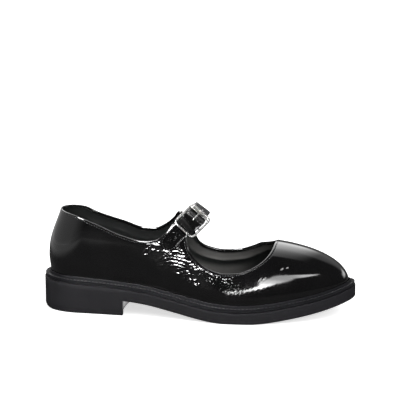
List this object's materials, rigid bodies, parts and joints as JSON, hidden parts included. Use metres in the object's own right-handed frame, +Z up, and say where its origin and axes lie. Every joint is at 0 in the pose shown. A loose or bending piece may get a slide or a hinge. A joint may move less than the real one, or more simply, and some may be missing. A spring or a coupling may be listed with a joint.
{
  "type": "mary jane shoe",
  "caption": "Black crinkled patent leather Mary Jane shoe for the right foot, with a buckled instep strap and a welted rubber sole with a low block heel.",
  "frame": {"origin": "middle of the outline seen from above, on the floor under the sole", "axes": "+X from the heel to the toe, -Y towards the outer side of the right foot where the buckle is, +Z up"},
  "size_m": [0.2714, 0.0982, 0.0959],
  "materials": {
    "patent_leather": "glossy crinkled patent",
    "outsole_rubber": "matte",
    "welt_rubber": "satin",
    "lining_leather": "smooth satin",
    "buckle_steel": "polished"
  },
  "bodies": {
    "root": {"outsole": "outsole_rubber", "welt": "welt_rubber", "insole": "lining_leather", "upper": "patent_leather", "instep_strap": "patent_leather", "buckle_tab": "patent_leather", "buckle_frame": "buckle_steel", "buckle_prong": "buckle_steel"}
  },
  "joints": []
}
